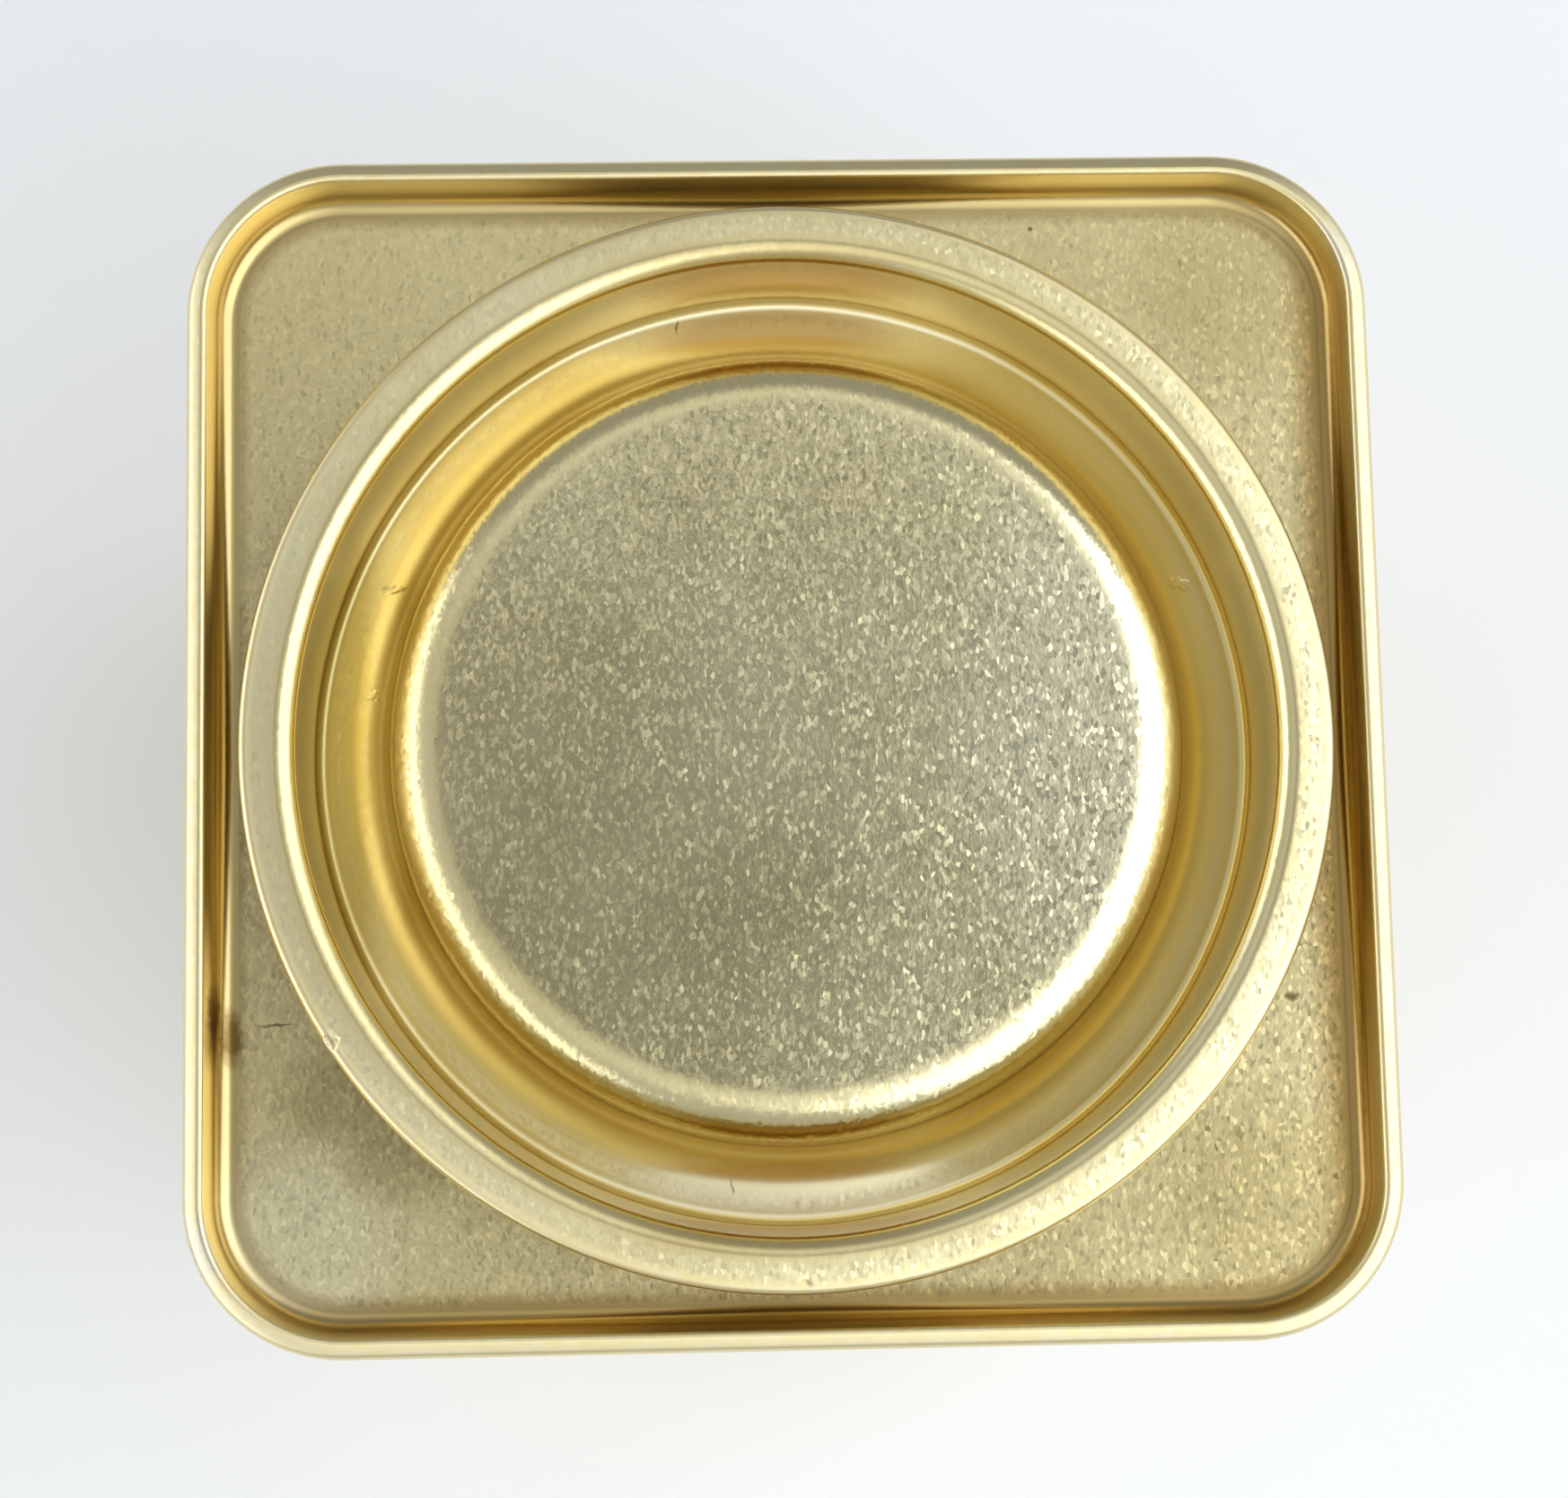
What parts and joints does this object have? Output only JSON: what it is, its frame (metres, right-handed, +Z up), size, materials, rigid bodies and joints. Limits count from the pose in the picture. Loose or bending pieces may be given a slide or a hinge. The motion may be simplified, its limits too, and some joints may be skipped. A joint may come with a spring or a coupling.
{
  "type": "tea tin",
  "caption": "Square tinplate tea tin with rounded corners, double-seamed ends and a round press-in plug lid that lifts straight off its mouth.",
  "frame": {"origin": "centre of the tin on the plane of the bottom seam that it stands on", "axes": "+Z up along the tin's axis, +Y towards the back with the side seam, +X to the right"},
  "size_m": [0.078, 0.078, 0.116],
  "materials": {
    "body_lacquer": "gold lacquer over matt rolled tinplate",
    "end_lacquer": "gold lacquer over matt rolled tinplate, pressed",
    "lid_lacquer": "gold lacquer over matt rolled tinplate, deep drawn",
    "seam_lining": "dried water-based lining compound"
  },
  "bodies": {
    "tin": {"body_wall": "body_lacquer", "bottom_end": "end_lacquer", "bottom_seam_lining": "seam_lining", "top_end": "end_lacquer", "top_seam_lining": "seam_lining"},
    "lid": {"plug_lid": "lid_lacquer"}
  },
  "joints": [
    {"name": "lid_lift", "type": "slide", "parent": "tin", "child": "lid", "axis": [0, 0, 1], "range_m": [0, 0.08]}
  ]
}
